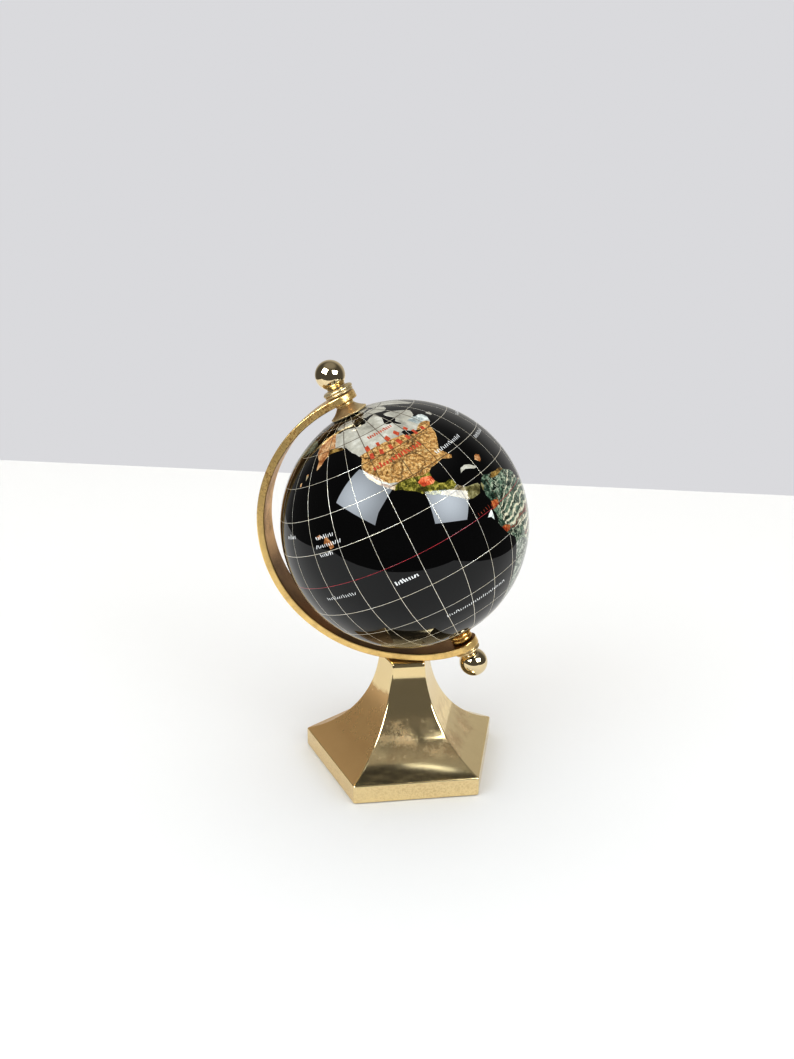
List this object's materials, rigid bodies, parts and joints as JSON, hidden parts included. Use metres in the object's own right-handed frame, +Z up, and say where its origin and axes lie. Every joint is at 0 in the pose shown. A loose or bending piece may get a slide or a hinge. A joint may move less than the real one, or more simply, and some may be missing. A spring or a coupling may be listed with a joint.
{
  "type": "desk globe",
  "caption": "Desk globe: a glossy inlaid-stone ball that turns in a curved brass strip on a flared five-sided brass foot.",
  "frame": {"origin": "centre of the foot's underside", "axes": "+Z up from the foot to the upper ball knob; the strip stands in the XZ plane and the north pole leans towards -X, 26.8 degrees from upright; -Y is the side shown from the front"},
  "size_m": [0.0875, 0.08, 0.1371],
  "materials": {
    "foot_brass": "mirror-polished pale brass, hazed and streaked low on the faces",
    "arc_brass": "polished brass, speckled with brown tarnish towards the upper tab",
    "pivot_brass": "bright polished brass",
    "aged_brass": "brass darkened to bronze",
    "inlaid_stone": "black stone with coloured stone lands and thin brass wires, ground flush and lacquered"
  },
  "bodies": {
    "stand": {"base": "foot_brass", "meridian_arc": "arc_brass", "upper_washer": "pivot_brass", "upper_finial": "pivot_brass", "lower_washer": "pivot_brass", "lower_finial": "pivot_brass", "lower_bushing": "aged_brass"},
    "globe": {"globe_ball": "inlaid_stone", "pole_cap": "aged_brass"}
  },
  "joints": [
    {"name": "globe_spin", "type": "hinge", "parent": "stand", "child": "globe", "pos_m": [-0.001, 0, 0.0849], "axis": [-0.4509, 0, 0.8926], "continuous": true}
  ]
}
